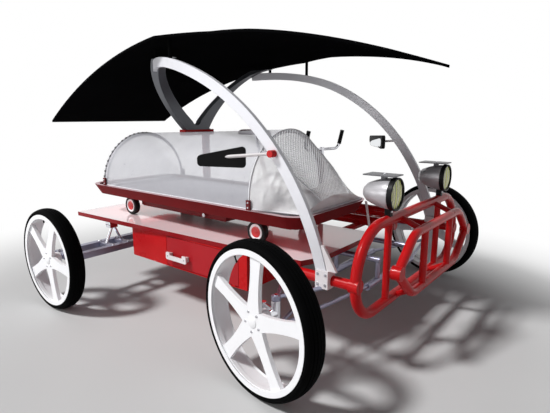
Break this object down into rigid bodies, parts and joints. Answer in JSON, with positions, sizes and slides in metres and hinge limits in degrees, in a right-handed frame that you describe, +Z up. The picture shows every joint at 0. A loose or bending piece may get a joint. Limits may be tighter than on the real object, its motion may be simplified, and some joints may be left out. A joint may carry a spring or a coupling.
{
  "type": "bicycle ambulance",
  "caption": "Four-wheeled pedal ambulance with a rolling canopied stretcher on its right, a drawer under the deck, arches and a dark roof.",
  "frame": {"origin": "floor level under the middle of the bounding box", "axes": "+X forward, +Y to the vehicle's left, +Z up"},
  "size_m": [3.026, 2.3364, 1.6271],
  "materials": {
    "wheel_white": "gloss moulded",
    "tyre_black": "smooth rubber",
    "bright_chrome": "polished",
    "frame_red": "gloss paint",
    "drawer_red": "gloss paint",
    "arm_grey": "satin",
    "deck_white": "gloss paint",
    "trim_white": "gloss paint",
    "arch_silver": "satin",
    "roof_black": "satin",
    "vee_grey": "satin",
    "trim_black": "satin",
    "lamp_silver": "polished",
    "lamp_glass": "fluted",
    "saddle_red": "smooth",
    "net_white": "fine net",
    "hoop_white": "gloss paint",
    "pad_grey": "woven",
    "caster_black": "smooth"
  },
  "bodies": {
    "chassis": {"arch_clamps": "trim_white", "arch_left": "arch_silver", "arch_right": "arch_silver", "chain": "arm_grey", "chassis_tubes": "frame_red", "deck": "deck_white", "drawer_case": "frame_red", "front_arms": "arm_grey", "front_guard": "frame_red", "front_subframe": "arm_grey", "lamp_brackets": "trim_black", "lamp_lenses": "lamp_glass", "lamp_rings": "trim_black", "lamp_shells": "lamp_silver", "lamp_visors": "trim_black", "mast": "frame_red", "mirror_knobs": "frame_red", "mirror_rods": "trim_white", "mirrors": "trim_black", "pedal_frame": "frame_red", "rear_arms": "arm_grey", "rear_struts": "bright_chrome", "roof": "roof_black", "roof_posts": "roof_black", "roof_vee": "vee_grey", "saddle": "saddle_red", "seat_post": "bright_chrome", "stretcher_stop": "trim_white"},
    "steering": {"handlebar": "bright_chrome", "handlebar_grips": "trim_black"},
    "knuckle_right": {"knuckle_right": "bright_chrome"},
    "knuckle_left": {"knuckle_left": "bright_chrome"},
    "wheel_front_right": {"rim_front_right": "wheel_white", "tyre_front_right": "tyre_black"},
    "wheel_front_left": {"rim_front_left": "wheel_white", "tyre_front_left": "tyre_black"},
    "wheel_rear_right": {"rim_rear_right": "wheel_white", "tyre_rear_right": "tyre_black"},
    "wheel_rear_left": {"rim_rear_left": "wheel_white", "tyre_rear_left": "tyre_black", "drive_shaft": "arm_grey"},
    "drawer": {"drawer": "drawer_red", "drawer_handle": "trim_white"},
    "stretcher": {"stretcher_tray": "frame_red", "stretcher_pad": "pad_grey", "stretcher_locker": "frame_red", "locker_knob": "bright_chrome", "caster_brackets": "frame_red", "canopy": "net_white", "canopy_hoops": "hoop_white", "hoop_tabs": "frame_red"},
    "crank": {"cranks": "arm_grey"},
    "pedal_right": {"pedal_right": "trim_black"},
    "pedal_left": {"pedal_left": "trim_black"},
    "caster_front_left": {"caster_front_left": "caster_black"},
    "caster_front_right": {"caster_front_right": "caster_black"},
    "caster_rear_left": {"caster_rear_left": "caster_black"},
    "caster_rear_right": {"caster_rear_right": "caster_black"}
  },
  "joints": [
    {"name": "steering", "type": "hinge", "parent": "chassis", "child": "steering", "pos_m": [0.528, 0.353, 0.9], "axis": [0, 0, 1], "range_deg": [-15.5, 34.5]},
    {"name": "knuckle_right", "type": "hinge", "parent": "chassis", "child": "knuckle_right", "pos_m": [1.11, -0.906, 0.346], "axis": [0, 0, 1], "range_deg": [-15.5, 34.5]},
    {"name": "knuckle_left", "type": "hinge", "parent": "chassis", "child": "knuckle_left", "pos_m": [1.11, 0.906, 0.346], "axis": [0, 0, 1], "range_deg": [-15.5, 34.5]},
    {"name": "wheel_front_right", "type": "hinge", "parent": "knuckle_right", "child": "wheel_front_right", "pos_m": [1.09399, -1.00167, 0.346], "axis": [-0.165, -0.9863, 0], "continuous": true},
    {"name": "wheel_rear_right", "type": "hinge", "parent": "chassis", "child": "wheel_rear_right", "pos_m": [-0.49, -1.122, 0.318], "axis": [0, -1, 0], "continuous": true},
    {"name": "wheel_front_left", "type": "hinge", "parent": "knuckle_left", "child": "wheel_front_left", "pos_m": [1.12601, 1.00167, 0.346], "axis": [0.165, 0.9863, 0], "continuous": true},
    {"name": "wheel_rear_left", "type": "hinge", "parent": "chassis", "child": "wheel_rear_left", "pos_m": [-0.49, 1.122, 0.318], "axis": [0, 1, 0], "continuous": true},
    {"name": "drawer_slide", "type": "slide", "parent": "chassis", "child": "drawer", "axis": [0, -1, 0], "range_m": [0, 0.4]},
    {"name": "stretcher_slide", "type": "slide", "parent": "chassis", "child": "stretcher", "axis": [-1, 0, 0], "range_m": [0, 0.35]},
    {"name": "caster_front_left", "type": "hinge", "parent": "stretcher", "child": "caster_front_left", "pos_m": [0.71, -0.08, 0.5753], "axis": [0, 1, 0], "continuous": true},
    {"name": "caster_front_right", "type": "hinge", "parent": "stretcher", "child": "caster_front_right", "pos_m": [0.71, -0.56, 0.5753], "axis": [0, 1, 0], "continuous": true},
    {"name": "caster_rear_left", "type": "hinge", "parent": "stretcher", "child": "caster_rear_left", "pos_m": [-0.449, -0.08, 0.5753], "axis": [0, 1, 0], "continuous": true},
    {"name": "caster_rear_right", "type": "hinge", "parent": "stretcher", "child": "caster_rear_right", "pos_m": [-0.449, -0.56, 0.5753], "axis": [0, 1, 0], "continuous": true},
    {"name": "crank", "type": "hinge", "parent": "chassis", "child": "crank", "pos_m": [0.11, 0.353, 0.42], "axis": [0, 1, 0], "continuous": true},
    {"name": "pedal_right", "type": "hinge", "parent": "crank", "child": "pedal_right", "pos_m": [-0.04505, 0.291, 0.36357], "axis": [0, 1, 0], "continuous": true},
    {"name": "pedal_left", "type": "hinge", "parent": "crank", "child": "pedal_left", "pos_m": [0.26505, 0.415, 0.47643], "axis": [0, 1, 0], "continuous": true}
  ],
  "couplings": [
    {"joint": "knuckle_right", "follows": "steering", "ratio": 1},
    {"joint": "knuckle_left", "follows": "steering", "ratio": 1}
  ]
}
